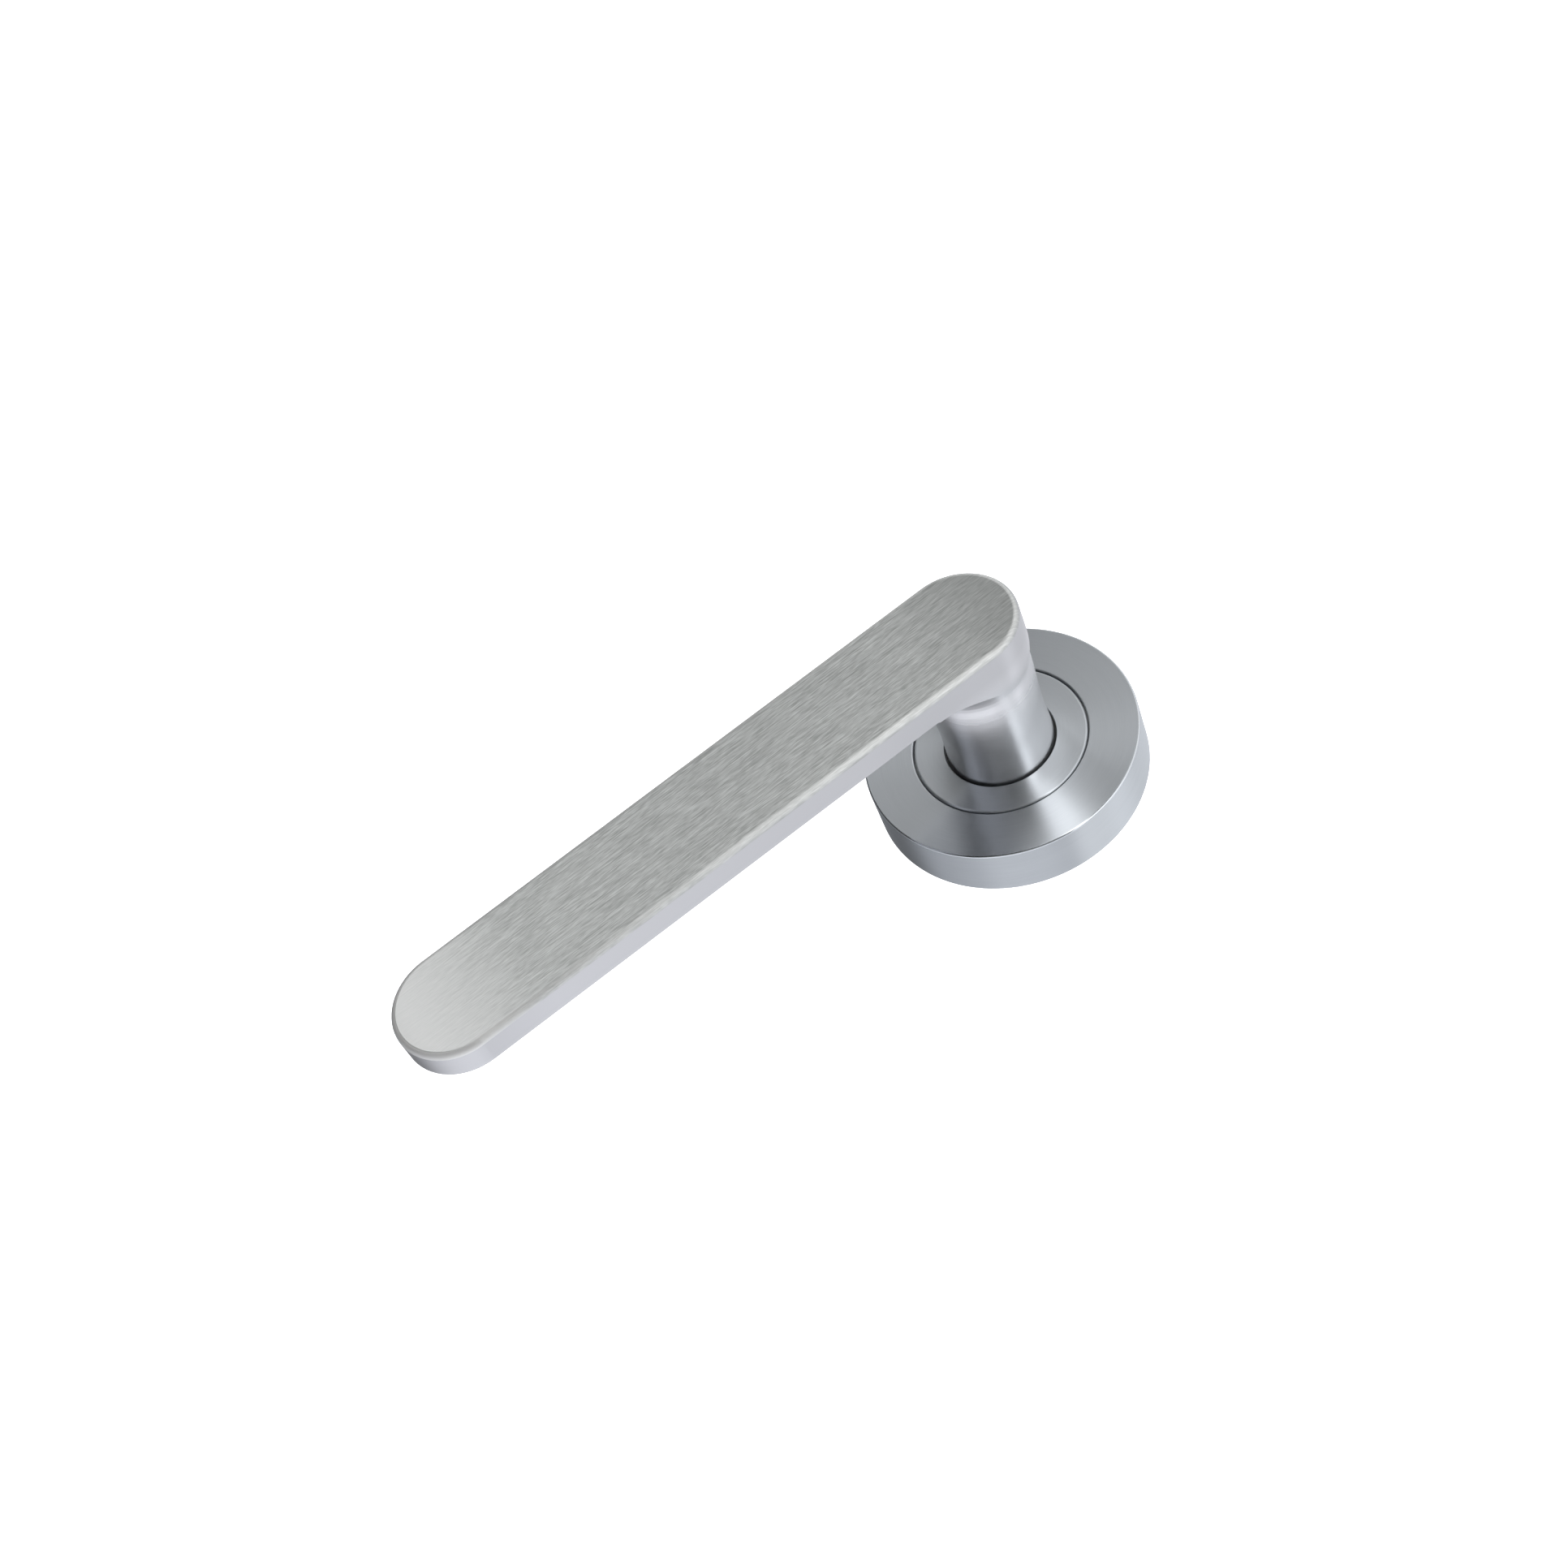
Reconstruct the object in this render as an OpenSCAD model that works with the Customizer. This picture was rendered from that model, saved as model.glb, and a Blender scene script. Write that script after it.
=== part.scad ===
// Sprung door lever handle on a round rose with a push-on cover.
// The origin is on the spindle axis, on the door's surface. +Z is up, +Y goes into the door,
// the handle stands out towards -Y and the lever points along +X.
// Each piece is drawn with its own z outwards from the door, and on_door() turns it upright.

/* [Lever] */
// Height of the lever's front face above the door
projection = 47.9; // [46:0.1:52]
// Distance from the spindle axis to the centre of the lever's round tip
grip_reach = 112.7; // [95:0.1:125]
// Width of the lever bar
bar_w = 22.9; // [22:0.1:24]
// Thickness of the lever bar
bar_t = 6.4; // [5.5:0.1:8]
// Rounding of the bar's front edge
bar_front_round = 1.1; // [0.3:0.1:1.2]
// Rounding of the bar's back edge
bar_back_round = 0.4; // [0.2:0.1:0.6]
// Narrowest diameter of the neck
neck_waist_d = 20.6; // [20:0.1:21]
// Radius of the fillet between the neck and the bar
neck_fillet_r = 7.5; // [5:0.1:8]

/* [Rose] */
// Diameter of the rose cover
rose_d = 54; // [54:0.1:56]
// Height of the rose above the door
rose_h = 11; // [11:0.1:12]
// Thickness of the cover's wall
cover_wall = 1; // [0.8:0.1:1]
// Thickness of the cover's face
cover_face = 1.2; // [1:0.1:1.2]
// Rounding of the cover's outer front edge
cover_round = 0.4; // [0.3:0.1:0.8]
// Diameter of the hole in the cover's face
cover_hole_d = 34.5; // [34.4:0.1:35]
// Outer diameter of the collar ring
collar_d = 33.9; // [33:0.1:33.9]
// Diameter of the hole in the collar ring
collar_bore_d = 22; // [22:0.1:22.6]

/* [Door fixing] */
// Distance between the two fixing bolts
bolt_pitch = 38; // [38:0.1:38.4]
// Diameter of a fixing bolt
bolt_d = 4; // [3.5:0.1:4]
// How far a bolt stands out behind the door's surface
bolt_reach = 13; // [8:1:60]
// Side of the square spindle
spindle_side = 8; // [7:0.1:8]
// How far the spindle stands out behind the door's surface
spindle_reach = 22; // [15:1:60]

/* [Bearing and spring] */
// Diameter of the lever's journal
journal_d = 17; // [16.8:0.1:17]
// Radial clearance between the journal and its bush
running_gap = 0.06; // [0.03:0.01:0.1]
// Diameter of the spring's wire
wire_d = 1.5; // [1.2:0.1:1.5]
// Mean diameter of the spring's coil
coil_d = 26.4; // [26.2:0.1:26.6]
// How far the lever turns to either side of level, in degrees
turn = 45; // [30:1:45]

/* [Hidden] */

$fn = 96;
eps = 0.01;

// Heights above the door, in the order they are met from the door outwards
journal_z0 = 0.5;
plate_z0 = 0.05;
plate_t = 0.8;
ring_z0 = 1.05;
ring_t = 0.9;
driver_z0 = 2.05;
driver_t = 1.2;
flats_z1 = driver_z0 + driver_t + 0.05;
shim_z0 = flats_z1 + 0.05;
hub_z0 = 3.7;
web_z0 = 8.2;
base_h = rose_h - cover_face - 0.4;
washer_t = 0.35;
neck_z0 = base_h + washer_t + 0.05;
bar_z0 = projection - bar_t;

// Lever
bar_r = bar_w / 2;
waist_r = neck_waist_d / 2;
neck_base_r = waist_r + 0.25;
neck_top_r = waist_r + 0.4;
waist_z = neck_z0 + 9;
fillet_z0 = bar_z0 - neck_fillet_r;
fillet_x = neck_top_r + neck_fillet_r;
end_blend_r = 16;
end_blend_z = fillet_z0 + sqrt(pow(neck_fillet_r + end_blend_r, 2) - pow(fillet_x - bar_r + end_blend_r, 2));
end_blend_angle = asin((end_blend_z - fillet_z0) / (neck_fillet_r + end_blend_r));
journal_r = journal_d / 2;
flat_x = journal_r - 1.3;
groove_r = 7.6;
socket_side = spindle_side + 0.2;
socket_z1 = 31;
grub_z = neck_z0 + 7;
grub_r = 2.45;

// Rose
rose_r = rose_d / 2;
base_r = rose_r - cover_wall - 0.4;
pocket_r = 22.2;
hub_r = 12;
bush_r = 10;
collar_r = collar_d / 2;
groove_z = 3;
grip_wire_r = 0.65;
bolt_x = bolt_pitch / 2;
bolt_r = bolt_d / 2;
shank_r = bolt_r - 0.3;
head_r = 3.8;
head_h = head_r - shank_r;
bolt_hole_r = bolt_r + 0.1;
boss_z0 = plate_z0 + plate_t;
bolt_boss_r = 4.4;
screw_boss_r = 3.2;
tongue_r = 13.6;
tongue_w = 0.8;
tongue_h = 0.4;
screw_ring_r = 19.2;
screw_r = 1.2;
screw_head_r = 2;

// Spring, its driver's tab and the stops: the tab points up, at 90 degrees
tab_w = 5.8;
tab_y0 = 15.6;
tab_y1 = 17.5;
tab_z1 = web_z0 - 0.3;
fixed_tab_y0 = 18.2;
tab_half_angle = atan(tab_w / 2 / tab_y0);
stop_angle = turn + tab_half_angle + 1;
stop_span = 18;
stop_r0 = 15.2;
screw_angles = [90 - stop_angle - stop_span / 2, 90 + stop_angle + stop_span / 2, 270];
coil_r = coil_d / 2;
wire_r = wire_d / 2;
leg_x = tab_w / 2 + wire_r + 0.1;
leg_y1 = 21.4;
bend_r = 2;
bend_y = sqrt((coil_r + bend_r) ^ 2 - (leg_x + bend_r) ^ 2);
coil_start = atan(bend_y / (leg_x + bend_r));
coil_sweep = 720 - 2 * (90 - coil_start);
coil_z0 = 4.2;
coil_z1 = web_z0 - 0.2 - wire_r;

// Turns a piece drawn with z outwards from the door into the part's own frame
module on_door() {
    rotate([90, 0, 0]) children();
}

// A tube or a washer
module ring(outer_r, inner_r, z0, h) {
    translate([0, 0, z0]) difference() {
        cylinder(r = outer_r, h = h);
        translate([0, 0, -1]) cylinder(r = inner_r, h = h + 2);
    }
}

// Points of a quarter round about [cx, cy], from start_angle, turning by sweep
function arc(cx, cy, r, start_angle, sweep, steps = 6) =
    [for (i = [0:steps]) let (a = start_angle + sweep * i / steps) [cx + r * cos(a), cy + r * sin(a)]];

// Smooth step from 0 to 1
function ease(t) = (1 - cos(180 * t)) / 2;

// ---- Lever ----

// Half of the bar's cross-section: x is the distance from the bar's middle line, y is the height
function bar_half() = concat(
    [[0, bar_z0]],
    arc(bar_r - bar_back_round, bar_z0 + bar_back_round, bar_back_round, -90, 90),
    arc(bar_r - bar_front_round, projection - bar_front_round, bar_front_round, 0, 90),
    [[0, projection]]);

module bar() {
    for (x = [0, grip_reach]) translate([x, 0, 0]) rotate_extrude() polygon(bar_half());
    rotate([90, 0, 90]) linear_extrude(grip_reach) {
        polygon(bar_half());
        mirror([1, 0]) polygon(bar_half());
    }
}

// The neck's outline from its base, with a slight waist, up to the fillet
function neck_side() = concat(
    [for (i = [0:6]) let (t = i / 6)
        [neck_base_r + (waist_r - neck_base_r) * ease(t), neck_z0 + (waist_z - neck_z0) * t]],
    [for (i = [1:8]) let (t = i / 8)
        [waist_r + (neck_top_r - waist_r) * ease(t), waist_z + (fillet_z0 - waist_z) * t]]);

// The point of the fillet's section where it has turned by that angle
function fillet_point(angle) =
    [fillet_x - neck_fillet_r * cos(angle), fillet_z0 + neck_fillet_r * sin(angle)];

// The large round that leads from the fillet into the bar's side, and the side itself
function blend_side() = concat(
    arc(bar_r - end_blend_r, end_blend_z, end_blend_r, -end_blend_angle, end_blend_angle),
    [[bar_r, bar_z0 + 1], [0, bar_z0 + 1]]);

// Half of the section that trims the flared fillet to the bar's width
function trim_half() = concat([[0, fillet_z0], [blend_side()[0][0], fillet_z0]], blend_side());

// Below the bar's round end the neck runs smoothly into its side; towards the tip the fillet flares out
module neck() {
    rotate_extrude() polygon(concat(
        [[0, neck_z0]], neck_side(), [fillet_point(end_blend_angle / 2)], blend_side()));
    intersection() {
        rotate_extrude() polygon(concat(
            [[0, neck_z0]], neck_side(), [for (i = [0:16]) fillet_point(8 + 82 * i / 16)],
            [[fillet_x, bar_z0 + 1], [0, bar_z0 + 1]]));
        rotate([90, 0, 90]) linear_extrude(fillet_x + 1) {
            polygon(trim_half());
            mirror([1, 0]) polygon(trim_half());
        }
    }
}

module journal() {
    difference() {
        translate([0, 0, journal_z0]) cylinder(r = journal_r, h = neck_z0 - journal_z0 + 1);
        for (side = [-1, 1])
            translate([side * (flat_x + 5), 0, flats_z1 / 2])
                cube([10, 2 * journal_d, flats_z1], center = true);
        ring(journal_r + 1, groove_r, ring_z0 - 0.05, ring_t + 0.1);
    }
}

module lever() {
    color([0.72, 0.73, 0.74]) on_door() difference() {
        union() {
            bar();
            neck();
            journal();
        }
        translate([-socket_side / 2, -socket_side / 2, 0]) cube([socket_side, socket_side, socket_z1]);
        translate([0, 0, grub_z]) rotate([90, 0, 0]) cylinder(r = grub_r + 0.05, h = bar_w);
    }
}

// Socket set screw that clamps the spindle, under the neck
module grub_screw() {
    screw_y0 = spindle_side / 2 + 0.05;
    screw_l = 5.4;
    socket_d = 2.5 / cos(30);
    color([0.2, 0.2, 0.21]) on_door() translate([0, -screw_y0, grub_z]) rotate([90, 0, 0]) difference() {
        rotate_extrude() polygon([[0, 0], [grub_r - 0.9, 0], [grub_r, 0.9], [grub_r, screw_l - 0.3],
                                  [grub_r - 0.3, screw_l], [0, screw_l]]);
        translate([0, 0, screw_l - 2.4]) cylinder(d = socket_d, h = 3, $fn = 6);
    }
}

// Square half spindle with turned-off corners at its ends
module spindle() {
    spindle_z1 = socket_z1 - 1;
    spindle_l = spindle_z1 + spindle_reach;
    corner_r = spindle_side / 2 * sqrt(2) - 0.15;
    end_r = spindle_side / 2 + 0.3;
    bevel = 1.2;
    color([0.66, 0.67, 0.69]) on_door() translate([0, 0, -spindle_reach]) intersection() {
        translate([-spindle_side / 2, -spindle_side / 2, 0]) cube([spindle_side, spindle_side, spindle_l]);
        rotate_extrude() polygon([[0, 0], [end_r, 0], [corner_r, bevel], [corner_r, spindle_l - bevel],
                                  [end_r, spindle_l], [0, spindle_l]]);
    }
}

// Plate keyed to the journal's flats, with a bent-up tab between the spring's legs
module driver_plate() {
    color([0.78, 0.74, 0.6]) on_door() {
        translate([0, 0, driver_z0]) linear_extrude(driver_t) difference() {
            union() {
                circle(r = hub_r);
                translate([-tab_w / 2, 0]) square([tab_w, tab_y1]);
            }
            intersection() {
                circle(r = journal_r + 0.05);
                square([2 * (flat_x + 0.05), journal_d + 1], center = true);
            }
        }
        translate([-tab_w / 2, tab_y0, driver_z0]) cube([tab_w, tab_y1 - tab_y0, tab_z1 - driver_z0]);
    }
}

// External circlip with two eyes
module retaining_ring() {
    gap_angle = 44;
    ring_r0 = groove_r + 0.05;
    ring_r1 = 9.9;
    eye_r = 1.5;
    eye_at = 9.7;
    color([0.3, 0.3, 0.32]) on_door() translate([0, 0, ring_z0]) linear_extrude(ring_t) difference() {
        union() {
            circle(r = ring_r1);
            for (side = [-1, 1]) rotate(-90 + side * gap_angle / 2) translate([eye_at, 0]) circle(r = eye_r);
        }
        circle(r = ring_r0);
        polygon([[0, 0], for (side = [-1, 1]) 30 * [sin(side * gap_angle / 2), -cos(gap_angle / 2)]]);
        for (side = [-1, 1])
            rotate(-90 + side * (gap_angle / 2 + 5)) translate([eye_at - 0.2, 0]) circle(r = 0.5, $fn = 24);
    }
}

// ---- Rose ----

// Push-on cover: a shallow cup with a large hole in its face
module rose_cover() {
    hole_r = cover_hole_d / 2;
    hole_round = 0.25;
    color([0.7, 0.71, 0.73]) on_door() rotate_extrude($fn = 180) polygon(concat(
        [[rose_r - cover_wall, 0.1], [rose_r, 0.1]],
        arc(rose_r - cover_round, rose_h - cover_round, cover_round, 0, 90),
        arc(hole_r + hole_round, rose_h - hole_round, hole_round, 90, 90),
        [[hole_r, rose_h - cover_face], [rose_r - cover_wall, rose_h - cover_face]]));
}

// Disc in the middle of the rose, seated in a groove in the base
module collar_ring() {
    bore_r = collar_bore_d / 2;
    edge_round = 0.45;
    inner_round = 0.2;
    color([0.7, 0.71, 0.73]) on_door() {
        rotate_extrude($fn = 180) polygon(concat(
            [[bore_r, base_h], [collar_r, base_h]],
            arc(collar_r - edge_round, rose_h - edge_round, edge_round, 0, 90),
            arc(bore_r + inner_round, rose_h - inner_round, inner_round, 90, 90)));
        ring(tongue_r + tongue_w / 2, tongue_r - tongue_w / 2, base_h - tongue_h, tongue_h + eps);
    }
}

// Cast base: rim, web, bearing hub, bolt bosses, spring stops and the fixed tab
module base_plate() {
    groove_w = 2 * grip_wire_r + 0.3;
    groove_bottom = base_r - 1.1;
    color([0.6, 0.61, 0.62]) on_door() difference() {
        union() {
            rotate_extrude($fn = 180) polygon([
                [bush_r, hub_z0], [hub_r, hub_z0], [hub_r, web_z0],
                [pocket_r, web_z0], [pocket_r, 0], [base_r, 0],
                [base_r, groove_z - groove_w / 2], [groove_bottom, groove_z - groove_w / 2],
                [groove_bottom, groove_z + groove_w / 2], [base_r, groove_z + groove_w / 2],
                [base_r, base_h - 0.5], [base_r - 0.5, base_h], [bush_r, base_h]]);
            for (side = [-1, 1])
                translate([side * bolt_x, 0, boss_z0]) cylinder(r = bolt_boss_r, h = web_z0 - boss_z0 + eps);
            translate([0, -screw_ring_r, boss_z0]) cylinder(r = screw_boss_r, h = web_z0 - boss_z0 + eps);
            for (from = [90 - stop_angle - stop_span, 90 + stop_angle])
                rotate(from) rotate_extrude(angle = stop_span)
                    translate([stop_r0, boss_z0]) square([pocket_r - stop_r0 + 0.2, web_z0 - boss_z0 + eps]);
            translate([-tab_w / 2, fixed_tab_y0, shim_z0])
                cube([tab_w, pocket_r - fixed_tab_y0 + 0.2, web_z0 - shim_z0 + eps]);
        }
        for (side = [-1, 1]) translate([side * bolt_x, 0, 0]) {
            cylinder(r = bolt_hole_r, h = base_h + 1);
            translate([0, 0, base_h - head_h + 0.3])
                cylinder(r1 = bolt_hole_r, r2 = bolt_hole_r + head_h, h = head_h);
        }
        for (a = screw_angles) rotate(a) translate([screw_ring_r, 0, 0]) cylinder(r = screw_r + 0.05, h = 6);
        ring(tongue_r + tongue_w / 2 + 0.05, tongue_r - tongue_w / 2 - 0.05, base_h - tongue_h - 0.05, 1);
    }
}

// Plain bush that the journal turns in
module bearing_bush() {
    color([0.12, 0.12, 0.13]) on_door() ring(bush_r, journal_r + running_gap, hub_z0, base_h - hub_z0);
}

// Washer between the bush and the neck's shoulder
module thrust_washer() {
    color([0.08, 0.08, 0.08]) on_door() ring(collar_bore_d / 2 - 0.1, journal_r + 0.2, base_h, washer_t);
}

// Thin washer between the bush and the driver plate
module shim_washer() {
    color([0.75, 0.76, 0.78]) on_door() ring(hub_r - 0.2, journal_r + 0.2, shim_z0, hub_z0 - shim_z0);
}

// The spring's centre line: one leg, a bend, the coil, a bend and the other leg
function spring_path() = let (
        bend_sweep = coil_start,
        bend_turns = [for (i = [0:5]) bend_sweep * i / 5],
        leg_in = [for (a = bend_turns)
            [leg_x + bend_r - bend_r * cos(a), bend_y - bend_r * sin(a), coil_z0]],
        steps = 80,
        coil = [for (i = [1:steps - 1]) let (a = coil_start - coil_sweep * i / steps)
            [coil_r * cos(a), coil_r * sin(a), coil_z0 + (coil_z1 - coil_z0) * i / steps]],
        leg_out = [for (i = [5:-1:0]) [-leg_in[i][0], leg_in[i][1], coil_z1]])
    concat([[leg_x, leg_y1, coil_z0]], leg_in, coil, leg_out, [[-leg_x, leg_y1, coil_z1]]);

function unit(v) = v / norm(v);

// A round wire of radius r along a path whose direction is never vertical
module wire_along(path, r, sides = 12) {
    last = len(path) - 1;
    points = [for (i = [0:last])
        let (t = unit(path[min(i + 1, last)] - path[max(i - 1, 0)]),
             s = unit(cross(t, [0, 0, 1])), u = cross(s, t))
        for (k = [0:sides - 1]) path[i] + r * (cos(360 * k / sides) * s + sin(360 * k / sides) * u)];
    walls = [for (i = [0:last - 1]) for (k = [0:sides - 1]) let (n = (k + 1) % sides)
        [i * sides + k, i * sides + n, (i + 1) * sides + n, (i + 1) * sides + k]];
    start_cap = [[for (k = [sides - 1:-1:0]) k]];
    end_cap = [[for (k = [0:sides - 1]) last * sides + k]];
    polyhedron(points, concat(walls, start_cap, end_cap), convexity = 6);
}

module return_spring() {
    color([0.5, 0.52, 0.56]) on_door() wire_along(spring_path(), wire_r);
}

// Thin plate that closes the spring's pocket from behind
module spring_cover() {
    color([0.75, 0.72, 0.6]) on_door() translate([0, 0, plate_z0]) difference() {
        cylinder(r = pocket_r - 0.2, h = plate_t);
        translate([0, 0, -1]) cylinder(r = hub_r - 0.4, h = plate_t + 2);
        for (side = [-1, 1]) translate([side * bolt_x, 0, -1]) cylinder(r = bolt_r + 0.3, h = plate_t + 2);
        for (a = screw_angles) rotate(a) translate([screw_ring_r, 0, -eps])
            cylinder(r1 = screw_head_r + 0.1, r2 = screw_r + 0.1, h = plate_t + 2 * eps);
    }
}

// Three countersunk screws that hold the spring cover
module spring_cover_screws() {
    screw_l = 4.6;
    color([0.68, 0.69, 0.7]) on_door() for (a = screw_angles)
        rotate(a) translate([screw_ring_r, 0, plate_z0]) difference() {
            rotate_extrude($fn = 48)
                polygon([[0, 0], [screw_head_r, 0], [screw_r, plate_t], [screw_r, screw_l - 0.4],
                    [screw_r - 0.4, screw_l], [0, screw_l]]);
            for (turned = [0, 90]) rotate(turned) translate([-1, -0.2, -1]) cube([2, 0.4, 1.5]);
        }
}

// O-ring that grips the inside of the cover
module cover_grip_ring() {
    color([0.06, 0.06, 0.06]) on_door() rotate_extrude($fn = 180)
        translate([base_r - 1.1 + grip_wire_r, groove_z]) circle(r = grip_wire_r, $fn = 24);
}

// Two countersunk bolts that pull the base onto the door: full thread behind it, a thinner
// shank inside the base
module fixing_bolts() {
    head_top = base_h - 0.05;
    thread_z1 = -0.5;
    tip_bevel = 0.6;
    hex_d = 2.5 / cos(30);
    color([0.7, 0.71, 0.72]) on_door() for (side = [-1, 1]) translate([side * bolt_x, 0, 0]) difference() {
        rotate_extrude($fn = 64) polygon([
            [0, -bolt_reach], [bolt_r - tip_bevel, -bolt_reach], [bolt_r, -bolt_reach + tip_bevel],
            [bolt_r, thread_z1], [shank_r, thread_z1 + bolt_r - shank_r], [shank_r, head_top - head_h],
            [head_r, head_top], [0, head_top]]);
        translate([0, 0, head_top - 1.6]) cylinder(d = hex_d, h = 2, $fn = 6);
    }
}

lever();
grub_screw();
spindle();
driver_plate();
retaining_ring();
rose_cover();
collar_ring();
base_plate();
bearing_bush();
thrust_washer();
shim_washer();
return_spring();
spring_cover();
spring_cover_screws();
cover_grip_ring();
fixing_bolts();
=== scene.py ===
"""Looks and studio for the door lever handle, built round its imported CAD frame."""
import math

import bpy
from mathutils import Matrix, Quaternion, Vector


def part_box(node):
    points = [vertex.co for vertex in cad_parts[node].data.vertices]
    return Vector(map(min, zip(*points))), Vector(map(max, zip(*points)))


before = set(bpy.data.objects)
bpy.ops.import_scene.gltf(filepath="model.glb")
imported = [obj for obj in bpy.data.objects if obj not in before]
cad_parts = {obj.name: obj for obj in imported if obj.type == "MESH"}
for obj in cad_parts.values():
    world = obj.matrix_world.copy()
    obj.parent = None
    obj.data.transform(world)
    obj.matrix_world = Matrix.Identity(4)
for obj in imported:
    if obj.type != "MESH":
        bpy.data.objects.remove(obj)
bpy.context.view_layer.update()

MM = 0.001

# The camera: it looks from in front and above, and it is rolled, so that the lever runs down to the left
CAMERA_TARGET = Vector((42.4, -24.0, -8.3)) * MM
CAMERA_DISTANCE = 477.0 * MM
CAMERA_AZIMUTH = 10.49
CAMERA_ELEVATION = 37.51
CAMERA_ROLL = 136.53
CAMERA_LENS = 58.55
CAMERA_SENSOR = 36.0
CAMERA_SHIFT = (0.001, 0.0154)
CAMERA_CLIP = (0.01, 50.0)

# The floor
FLOOR_Z = -200.0 * MM
FLOOR_SIZE = 12.0
FLOOR_GLOW = 0.75
WHITE = (1.0, 1.0, 1.0, 1.0)

# Brightness of the light tent round the handle, by angle. In front of the door it has a roof, a wall and a
# ground, each by degrees from straight in front towards the lever's side
TENT_ROOF = [
    (-90, 1.4), (-60, 1.7), (-45, 2.1), (-15, 2.1), (-8, 0.9), (-3, 0.25), (45, 0.25), (60, 0.8), (90, 1.0)]
TENT_WALL = [
    (-90, 1.2), (-60, 1.2), (-45, 1.4), (-35, 1.4), (-26, 0.65), (-19, 0.35), (-15, 0.5), (-13, 3.1),
    (-6, 3.1), (-4, 0.08), (0, 0.08), (2, 0.7), (4, 0.7), (6, 0.04), (70, 0.04), (84, 0.25), (90, 0.4)]
TENT_GROUND = [
    (-90, 1.0), (-60, 1.3), (-30, 0.85), (-19, 0.36), (-14, 0.28), (-10, 0.3), (-6, 0.45), (-2, 1.0),
    (0, 1.5), (3, 1.7), (5, 0.2), (9, 0.08), (60, 0.03), (90, 0.15)]
# Behind the door it goes by degrees round the spindle axis, from the lever's side up over the top
TENT_BACK = [
    (-180, 0.9), (-148, 0.95), (-128, 0.85), (-112, 0.45), (-68, 0.5), (-48, 0.32), (-28, 0.34), (-8, 1.0),
    (12, 1.4), (32, 1.5), (72, 1.5), (92, 1.2), (108, 0.85), (120, 0.85), (127, 1.2), (140, 1.15),
    (150, 0.9), (180, 0.9)]
# Elevations, in degrees, over which the wall passes into the roof and into the ground
ROOF_FROM, ROOF_TO = 24.0, 34.0
GROUND_FROM, GROUND_TO = -27.0, -19.0
# The front passes into the back over this range of the direction's Y
BACK_FROM, BACK_TO = -0.1, 0.15
TENT_TINT = (0.98, 0.99, 1.04, 1.0)

# Sizes of the rose and the bar, for the places where their finish changes
COVER_ROUND = 0.4 * MM
BAR_THICKNESS = 6.4 * MM
BAR_HALF_WIDTH = 11.45 * MM
BAR_ROUND = 1.1 * MM
# Brushing marks on the bar: number per metre along it and across it, detail, roughness and share in the sum.
# The last value is their number per metre through the bar's thickness
BAR_MARKS = [
    (110.0, 3600.0, 3.0, 0.6, 0.3),
    (260.0, 8000.0, 1.0, 0.5, 0.4),
    (600.0, 5000.0, 1.0, 0.5, 0.3)]
BAR_MARKS_DEEP = 800.0


# ---- Nodes ----

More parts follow.
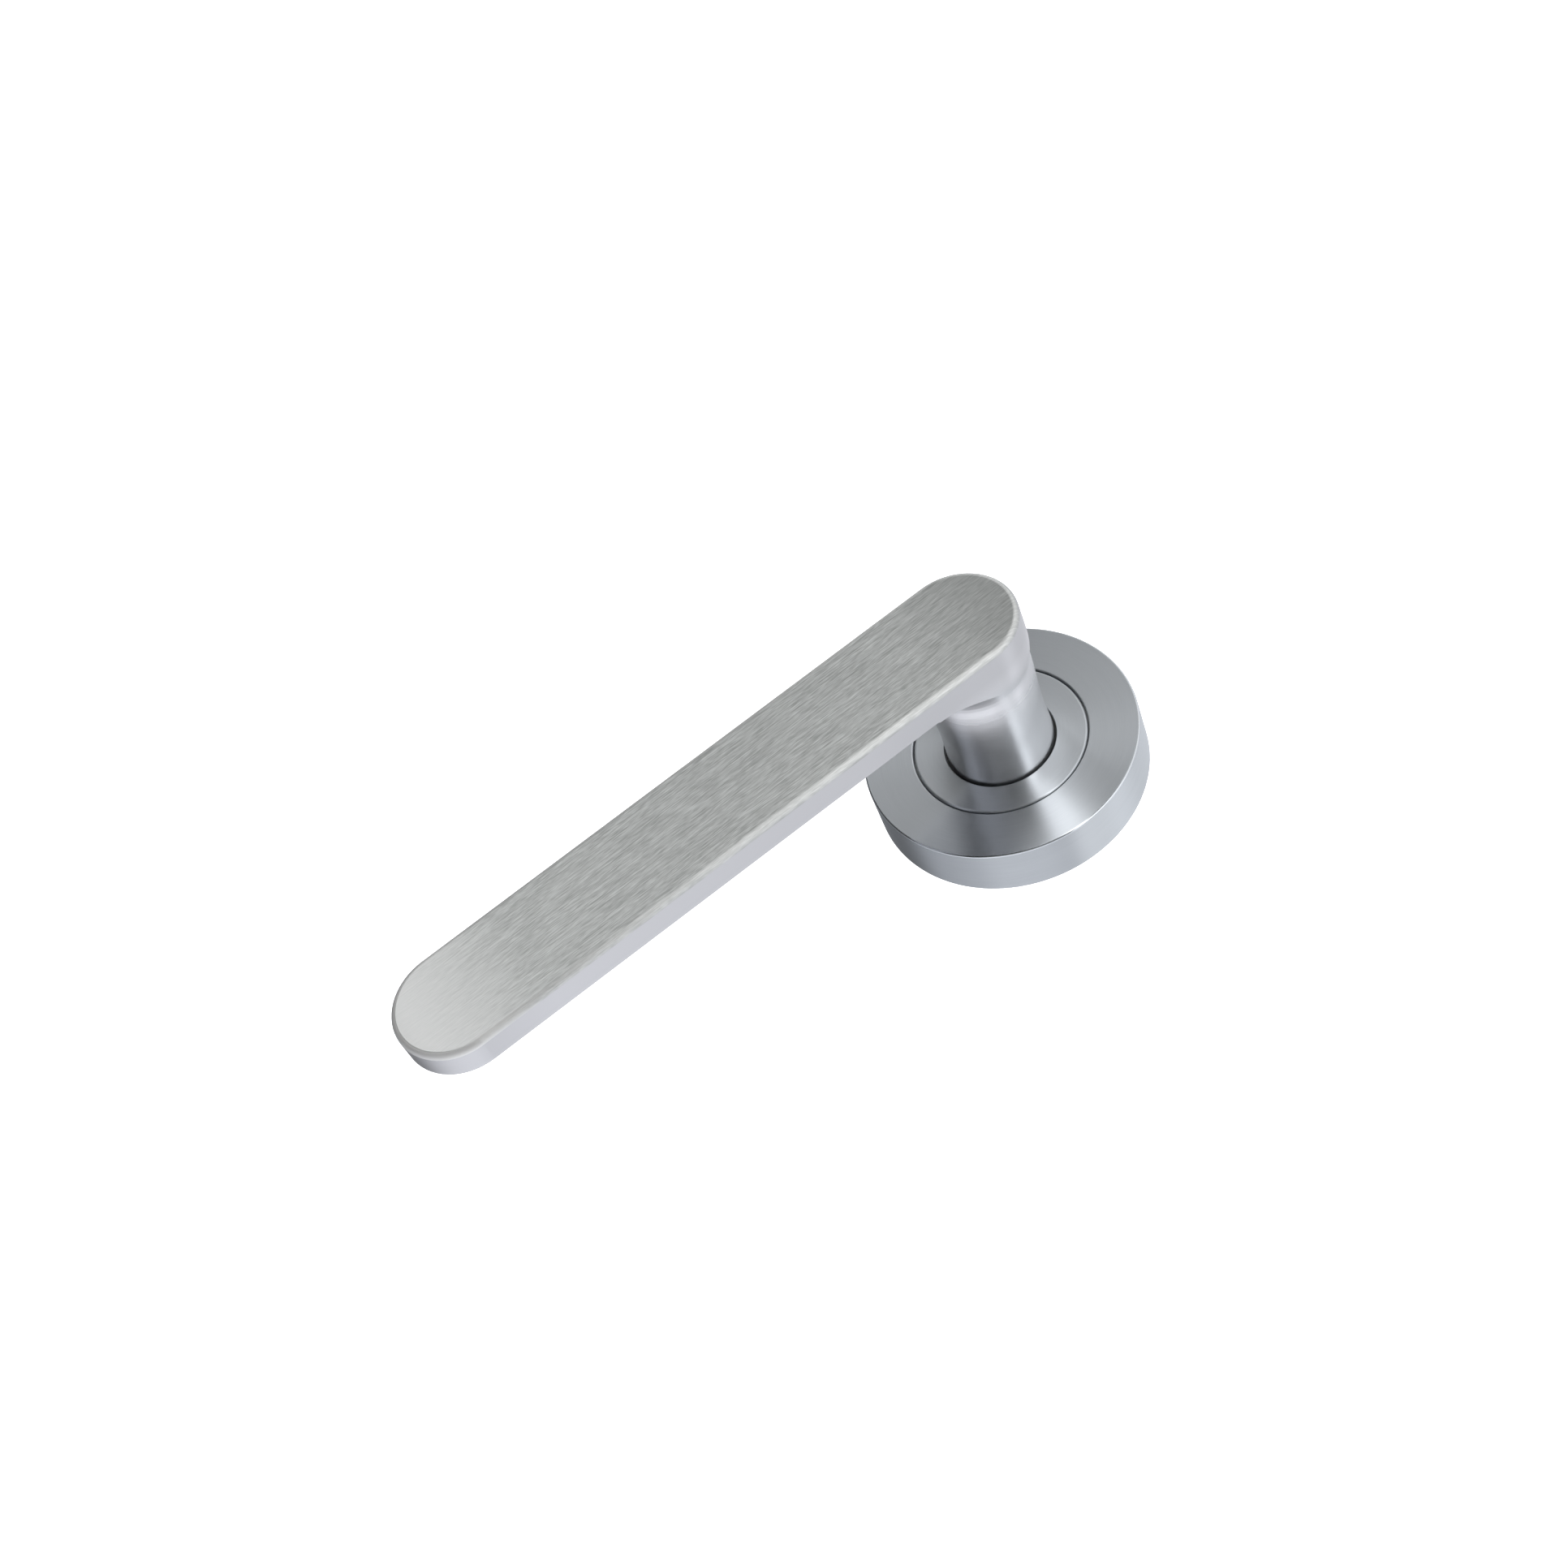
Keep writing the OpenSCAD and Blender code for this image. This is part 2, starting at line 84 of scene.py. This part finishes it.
class Nodes:
    """Short names for the nodes of a material or of the world."""

    def __init__(self, owner):
        owner.use_nodes = True
        self.owner = owner
        self.tree = owner.node_tree

    def node(self, kind, inputs=None, **settings):
        made = self.tree.nodes.new(kind)
        for key, value in settings.items():
            setattr(made, key, value)
        for key, value in (inputs or {}).items():
            self.feed(made.inputs[key], value)
        return made

    def feed(self, socket, value):
        if isinstance(value, bpy.types.NodeSocket):
            self.tree.links.new(value, socket)
        else:
            socket.default_value = value

    def set(self, **values):
        """Sets or links inputs of the material's shader, with _ for the spaces in their names."""
        for key, value in values.items():
            self.feed(self.tree.nodes["Principled BSDF"].inputs[key.replace("_", " ")], value)

    def math(self, operation, a, b=0.0):
        return self.node("ShaderNodeMath", {0: a, 1: b}, operation=operation).outputs[0]

    def vector(self, operation, a, b=(0.0, 0.0, 0.0)):
        return self.node("ShaderNodeVectorMath", {0: a, 1: b}, operation=operation).outputs[0]

    def place(self):
        return self.node("ShaderNodeTexCoord").outputs["Object"]

    def parts(self, vector):
        """The X, Y and Z of a vector, by name."""
        return self.node("ShaderNodeSeparateXYZ", {0: vector}).outputs

    def joined(self, x, y=0.0, z=0.0):
        return self.node("ShaderNodeCombineXYZ", {0: x, 1: y, 2: z}).outputs[0]

    def ramp(self, value, low, high, out_low=0.0, out_high=1.0):
        inputs = {"Value": value, "From Min": low, "From Max": high, "To Min": out_low, "To Max": out_high}
        return self.node("ShaderNodeMapRange", inputs).outputs["Result"]

    def noise(self, vector, scale, detail=2.0, roughness=0.5):
        inputs = {"Vector": vector, "Scale": scale, "Detail": detail, "Roughness": roughness}
        return self.node("ShaderNodeTexNoise", inputs).outputs["Fac"]

    def levels(self, angle, stops):
        """The brightness at an angle in radians, from pairs of degrees, -180 to 180, and brightness."""
        turned = self.math("ADD", self.math("DIVIDE", angle, 2.0 * math.pi), 0.5)
        made = self.node("ShaderNodeValToRGB", {"Fac": turned})
        elements = made.color_ramp.elements
        elements.remove(elements[-1])
        for index, (degrees, level) in enumerate(stops):
            position = 0.5 + degrees / 360.0
            element = elements[0] if index == 0 else elements.new(position)
            element.position = position
            element.color = (level, level, level, 1.0)
        return made.outputs["Color"]

    def slope(self, height, low, high):
        """0 below the low elevation and 1 above the high one, in degrees. Height is the sine of it."""
        return self.ramp(height, math.sin(math.radians(low)), math.sin(math.radians(high)))

    def blend(self, factor, a, b, how="MIX"):
        made = self.node("ShaderNodeMix", data_type="RGBA", blend_type=how)
        self.feed(made.inputs["Factor"], factor)
        self.feed(made.inputs["A"], a)
        self.feed(made.inputs["B"], b)
        return made.outputs["Result"]

    def mix(self, factor, a, b):
        """Blends two numbers. The node has its number inputs at 2 and 3."""
        return self.node("ShaderNodeMix", {0: factor, 2: a, 3: b}).outputs[0]

    def mix_vector(self, factor, a, b):
        """Blends two vectors. The node has its vector inputs at 4 and 5."""
        return self.node("ShaderNodeMix", {0: factor, 4: a, 5: b}, data_type="VECTOR").outputs[1]

    def across(self, lay):
        """The direction across the brushing lines, on the surface: the highlight stretches that way."""
        turned = self.node("ShaderNodeVectorTransform", {"Vector": lay}, vector_type="VECTOR",
                           convert_from="OBJECT", convert_to="WORLD").outputs[0]
        normal = self.node("ShaderNodeNewGeometry").outputs["Normal"]
        return self.vector("NORMALIZE", self.vector("CROSS_PRODUCT", normal, turned))

    def round_about(self, place):
        """The direction round the Y axis."""
        return self.vector("CROSS_PRODUCT", (0.0, 1.0, 0.0), place)

    def radius(self, place):
        """The distance from the Y axis."""
        flat = self.vector("MULTIPLY", place, (1.0, 0.0, 1.0))
        return self.node("ShaderNodeVectorMath", {0: flat}, operation="LENGTH").outputs["Value"]

    def lathe(self, place):
        """Coordinates for turning marks round the Y axis: position across the marks, then round the axis."""
        outwards = self.parts(self.vector("NORMALIZE", self.vector("MULTIPLY", place, (1.0, 0.0, 1.0))))
        marks = self.math("ADD", self.radius(place), self.parts(place)["Y"])
        return self.joined(marks, outwards["X"], outwards["Z"])

    def bump(self, height, strength, distance):
        inputs = {"Height": height, "Strength": strength, "Distance": distance}
        return self.node("ShaderNodeBump", inputs).outputs["Normal"]


# ---- Camera and studio ----

def make_camera():
    data = bpy.data.cameras.new("camera")
    data.lens = CAMERA_LENS
    data.sensor_width = CAMERA_SENSOR
    data.shift_x, data.shift_y = CAMERA_SHIFT
    data.clip_start, data.clip_end = CAMERA_CLIP
    camera = bpy.data.objects.new("camera", data)
    azimuth, elevation = math.radians(CAMERA_AZIMUTH), math.radians(CAMERA_ELEVATION)
    back = Vector((
        math.sin(azimuth) * math.cos(elevation),
        -math.cos(azimuth) * math.cos(elevation),
        math.sin(elevation)))
    roll = Quaternion((0.0, 0.0, 1.0), math.radians(CAMERA_ROLL))
    camera.rotation_mode = "QUATERNION"
    camera.location = CAMERA_TARGET + back * CAMERA_DISTANCE
    camera.rotation_quaternion = (-back).to_track_quat("-Z", "Y") @ roll
    bpy.context.scene.collection.objects.link(camera)
    bpy.context.scene.camera = camera


def make_floor():
    """A plain white floor far below the handle. The camera sees it evenly lit."""
    bpy.ops.mesh.primitive_plane_add(size=FLOOR_SIZE, location=(0.0, 0.0, FLOOR_Z))
    floor = bpy.context.object
    floor.name = "floor"
    n = Nodes(bpy.data.materials.new("floor_white"))
    n.set(Base_Color=(0.9, 0.9, 0.9, 1.0), Roughness=0.9, Emission_Color=WHITE, Emission_Strength=FLOOR_GLOW)
    floor.data.materials.append(n.owner)
    floor.visible_glossy = False
    floor.visible_diffuse = False


def make_world():
    """A light tent: white to the camera; the steel mirrors its bright and dark walls."""
    world = bpy.data.worlds.new("studio")
    bpy.context.scene.world = world
    n = Nodes(world)
    towards = n.parts(n.node("ShaderNodeTexCoord").outputs["Generated"])
    turn = n.math("ARCTAN2", towards["X"], n.math("MULTIPLY", towards["Y"], -1.0))
    climb = n.math("ARCTAN2", towards["Z"], towards["X"])
    roof, wall, ground = (n.levels(turn, band) for band in (TENT_ROOF, TENT_WALL, TENT_GROUND))
    front = n.blend(n.slope(towards["Z"], GROUND_FROM, GROUND_TO), ground, wall)
    front = n.blend(n.slope(towards["Z"], ROOF_FROM, ROOF_TO), front, roof)
    back = n.blend(1.0, n.levels(climb, TENT_BACK), TENT_TINT, "MULTIPLY")
    tent = n.blend(n.ramp(towards["Y"], BACK_FROM, BACK_TO), front, back)
    seen = n.node("ShaderNodeLightPath").outputs["Is Camera Ray"]
    n.feed(n.tree.nodes["Background"].inputs["Color"], n.blend(seen, tent, WHITE))


# ---- Materials ----

def rose_steel():
    """Satin stainless steel, brushed in circles on a lathe, with a smoother front edge."""
    n = Nodes(bpy.data.materials.new("rose_steel"))
    place = n.place()
    marks = n.lathe(place)
    radius = n.radius(place)
    rose_front, rose_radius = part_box("rose_cover")[0].y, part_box("rose_cover")[1].x
    on_rim = n.ramp(radius, rose_radius - 0.5 * COVER_ROUND, rose_radius - 0.125 * COVER_ROUND)
    past_face = n.ramp(radius, rose_radius - 0.95 * COVER_ROUND, rose_radius - 0.75 * COVER_ROUND)
    near_front = n.ramp(n.parts(place)["Y"], rose_front + 0.95 * COVER_ROUND, rose_front + 0.75 * COVER_ROUND)
    on_edge = n.math("MULTIPLY", past_face, near_front)

    fine = n.noise(n.vector("MULTIPLY", marks, (7000.0, 3.0, 3.0)), 1.0, 3.0, 0.6)
    broad = n.noise(n.vector("MULTIPLY", marks, (900.0, 1.6, 1.6)), 1.0, 2.0)
    streaks = n.math("ADD", n.math("MULTIPLY", fine, 0.7), n.math("MULTIPLY", broad, 0.3))
    satin = n.ramp(streaks, 0.3, 0.7, 0.31, 0.35)
    n.set(Base_Color=n.blend(n.ramp(streaks, 0.3, 0.7), (0.53, 0.56, 0.59, 1.0), (0.57, 0.60, 0.63, 1.0)),
          Roughness=n.mix(on_edge, n.mix(on_rim, satin, 0.45), 0.16),
          Metallic=1.0, Anisotropic=1.0,
          Tangent=n.across(n.round_about(place)),
          Normal=n.bump(streaks, 0.1, 0.002 * MM))
    return n.owner


def brushing(n, place):
    """The sum of the brushing marks along the bar."""
    total = 0.0
    for along, across, detail, roughness, share in BAR_MARKS:
        marks = n.vector("MULTIPLY", place, (along, BAR_MARKS_DEEP, across))
        total = n.math("ADD", total, n.math("MULTIPLY", n.noise(marks, 1.0, detail, roughness), share))
    return total


def lever_steel():
    """Satin stainless steel: the bar is brushed along its length, the neck is turned. Shade and highlights
    are painted on the bar.
    """
    n = Nodes(bpy.data.materials.new("lever_steel"))
    place = n.place()
    parts = n.parts(place)
    front, tip_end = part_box("lever")[0].y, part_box("lever")[1].x
    back = front + BAR_THICKNESS

    # Parts of the lever, from 0 to 1
    on_face = n.ramp(parts["Y"], front + 0.5 * MM, front + 0.2 * MM)
    on_side = n.ramp(parts["Y"], front + 0.5 * MM, front + BAR_ROUND)
    on_neck = n.ramp(parts["Y"], back - 1.0 * MM, back + 9.0 * MM)
    down_neck = n.ramp(parts["Y"], back, back + 17.0 * MM)
    # Masks for the painted shade on the face near the neck and the painted light and shade at the tip
    painted_shade_by_neck = n.ramp(parts["X"], 10.0 * MM, -8.0 * MM)
    tip = n.ramp(parts["X"], tip_end - 26.0 * MM, tip_end - 4.0 * MM)
    past_face = n.ramp(parts["Y"], front + 0.003 * MM, front + 0.015 * MM)
    before_side = n.ramp(parts["Y"], front + BAR_ROUND + 0.05 * MM, front + BAR_ROUND - 0.05 * MM)
    on_edge = n.math("MULTIPLY", past_face, before_side)

    # Colours, with painted shade near the neck and painted light and shade at the tip
    brushed = brushing(n, place)
    turned = n.noise(n.vector("MULTIPLY", n.lathe(place), (6000.0, 3.0, 3.0)), 1.0, 3.0, 0.6)
    face = n.blend(n.ramp(brushed, 0.38, 0.62), (0.37, 0.381, 0.376, 1.0), (0.66, 0.679, 0.67, 1.0))
    # Painted shade: towards the neck the face is blended half way to dark grey
    face = n.blend(n.math("MULTIPLY", painted_shade_by_neck, 0.5), face, (0.27, 0.28, 0.275, 1.0))
    # Painted highlight: towards the tip the face turns much lighter
    painted_highlight_tip_face = n.blend(n.ramp(brushed, 0.3, 0.7), (0.74, 0.755, 0.75, 1.0), (0.85, 0.86, 0.855, 1.0))
    face = n.blend(tip, face, painted_highlight_tip_face)
    neck = n.blend(n.ramp(turned, 0.3, 0.7), (0.74, 0.745, 0.76, 1.0), (0.79, 0.795, 0.81, 1.0))
    # Painted shade: the side turns darker towards the tip
    side = n.blend(tip, (0.565, 0.57, 0.585, 1.0), (0.47, 0.475, 0.49, 1.0))
    edge = n.blend(n.ramp(brushed, 0.35, 0.65), (0.42, 0.43, 0.425, 1.0), (0.60, 0.61, 0.605, 1.0))
    # Painted highlight: the edge turns lighter towards the tip
    edge = n.blend(tip, edge, (0.70, 0.705, 0.70, 1.0))

    # The brushing runs along the face, round the bar's outline on its side, and round the neck
    along = n.math("MINIMUM", n.math("MAXIMUM", parts["X"], 0.0), tip_end - BAR_HALF_WIDTH)
    from_middle = n.vector("SUBTRACT", place, n.joined(along))
    on_bar = n.mix_vector(on_side, n.across((1.0, 0.0, 0.0)), n.across(n.round_about(from_middle)))

    rough_face = n.ramp(brushed, 0.3, 0.7, 0.29, 0.36)
    rough_rest = n.mix(down_neck, 0.38, n.ramp(turned, 0.3, 0.7, 0.2, 0.23))
    n.set(Base_Color=n.blend(on_edge, n.blend(on_face, n.blend(on_neck, side, neck), face), edge),
          Roughness=n.mix(on_edge, n.mix(on_face, rough_rest, rough_face), 0.42),
          # At the tip the edge is only slightly metallic, so its light colour shows as a painted highlight
          Metallic=n.mix(n.math("MULTIPLY", on_edge, tip), 1.0, 0.2),
          Anisotropic=0.75,
          Tangent=n.mix_vector(on_neck, on_bar, n.across(n.round_about(place))),
          Normal=n.bump(n.mix(on_face, turned, brushed), 0.12, 0.003 * MM))
    return n.owner


def plain_metal(name, low, high, roughness, scale, metallic=1.0, depth=0.01, strength=0.3):
    """A machined, plated, cast or moulded surface with fine grain."""
    n = Nodes(bpy.data.materials.new(name))
    grain = n.noise(n.place(), scale, 4.0, 0.6)
    n.set(Base_Color=n.blend(n.ramp(grain, 0.35, 0.65), low, high),
          Roughness=n.ramp(grain, 0.3, 0.7, roughness - 0.06, roughness + 0.06),
          Metallic=metallic,
          Normal=n.bump(grain, strength, depth * MM))
    return n.owner


def make_materials():
    rose = rose_steel()
    bright = plain_metal("bright_steel", (0.52, 0.54, 0.58, 1.0), (0.66, 0.68, 0.72, 1.0), 0.3, 1500.0)
    black = plain_metal("black_steel", (0.025, 0.025, 0.03, 1.0), (0.05, 0.05, 0.055, 1.0), 0.42, 1800.0, 0.7)
    plated = plain_metal("plated_steel", (0.55, 0.47, 0.27, 1.0), (0.68, 0.6, 0.38, 1.0), 0.34, 700.0)
    spring = plain_metal("spring_steel", (0.2, 0.21, 0.24, 1.0), (0.34, 0.35, 0.39, 1.0), 0.33, 2500.0)
    zinc = plain_metal("cast_zinc", (0.3, 0.31, 0.32, 1.0), (0.42, 0.43, 0.44, 1.0), 0.5, 900.0, 0.9, 0.03)
    acetal = plain_metal("acetal", (0.012, 0.012, 0.013, 1.0), (0.022, 0.022, 0.024, 1.0), 0.45, 1200.0, 0.0)
    rubber = plain_metal(
        "seal_rubber", (0.014, 0.014, 0.014, 1.0), (0.03, 0.03, 0.03, 1.0), 0.7, 2200.0, 0.0, 0.03)
    return {
        "lever": lever_steel(), "rose_cover": rose, "collar_ring": rose,
        "spindle": bright, "shim_washer": bright, "spring_cover_screws": bright, "fixing_bolts": bright,
        "grub_screw": black, "retaining_ring": black, "driver_plate": plated, "spring_cover": plated,
        "return_spring": spring, "base_plate": zinc, "bearing_bush": acetal, "thrust_washer": acetal,
        "cover_grip_ring": rubber,
    }


def dress_nodes():
    for name, material in make_materials().items():
        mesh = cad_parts[name].data
        mesh.materials.clear()
        mesh.materials.append(material)


bpy.context.scene.view_settings.view_transform = "Standard"
make_camera()
make_floor()
make_world()
dress_nodes()
